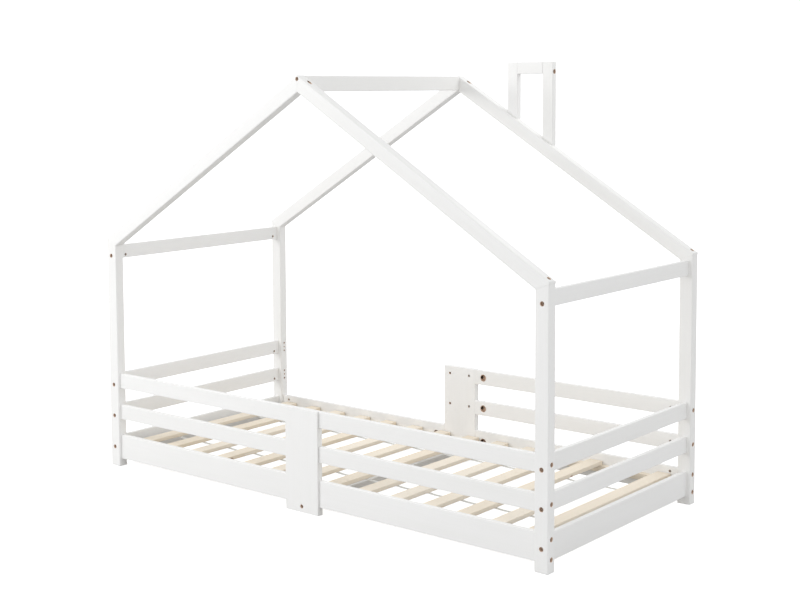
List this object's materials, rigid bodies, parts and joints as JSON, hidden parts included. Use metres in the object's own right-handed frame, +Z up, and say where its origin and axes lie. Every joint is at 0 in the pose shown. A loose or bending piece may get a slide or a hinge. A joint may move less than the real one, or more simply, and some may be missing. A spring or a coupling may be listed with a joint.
{
  "type": "house frame bed",
  "caption": "Child's low floor bed with slatted base, guard rails, and an open house-shaped frame with ridge beam and chimney.",
  "frame": {"origin": "on the floor, in the middle of the bed's length and width", "axes": "+X along the bed from its left end to its right end, +Y from the front to the back, where the way in is, +Z up"},
  "size_m": [2.068, 0.965, 1.59],
  "materials": {
    "white_pine": "white painted pine, satin",
    "natural_pine": "bare planed pine",
    "beech": "bare fluted dowel",
    "tape": "woven cotton tape",
    "zinc": "zinc plated"
  },
  "bodies": {
    "root": {"back_centre_upright": "white_pine", "back_left_post": "white_pine", "back_left_rafter": "white_pine", "back_left_side_rail": "white_pine", "back_right_lower_guard": "white_pine", "back_right_post": "white_pine", "back_right_rafter": "white_pine", "back_right_side_rail": "white_pine", "back_right_upper_guard": "white_pine", "back_slat_ledger": "natural_pine", "back_slat_tape": "tape", "back_upright_cover": "white_pine", "barrel_nuts": "zinc", "centre_cross_beam": "white_pine", "chimney_crosspiece": "white_pine", "chimney_left_post": "white_pine", "chimney_right_post": "white_pine", "dowels": "beech", "frame_screws": "zinc", "front_centre_upright": "white_pine", "front_left_lower_guard": "white_pine", "front_left_post": "white_pine", "front_left_rafter": "white_pine", "front_left_side_rail": "white_pine", "front_left_upper_guard": "white_pine", "front_right_lower_guard": "white_pine", "front_right_post": "white_pine", "front_right_rafter": "white_pine", "front_right_side_rail": "white_pine", "front_right_upper_guard": "white_pine", "front_slat_ledger": "natural_pine", "front_slat_tape": "tape", "front_upright_cover": "white_pine", "left_end_beam": "white_pine", "left_end_lower_guard": "white_pine", "left_end_side_rail": "white_pine", "left_end_upper_guard": "white_pine", "long_bolts": "zinc", "ridge_beam": "white_pine", "right_end_beam": "white_pine", "right_end_lower_guard": "white_pine", "right_end_side_rail": "white_pine", "right_end_upper_guard": "white_pine", "short_bolts": "zinc", "slat_01": "natural_pine", "slat_02": "natural_pine", "slat_03": "natural_pine", "slat_04": "natural_pine", "slat_05": "natural_pine", "slat_06": "natural_pine", "slat_07": "natural_pine", "slat_08": "natural_pine", "slat_09": "natural_pine", "slat_10": "natural_pine", "slat_11": "natural_pine", "slat_12": "natural_pine", "slat_13": "natural_pine", "slat_14": "natural_pine"}
  },
  "joints": []
}
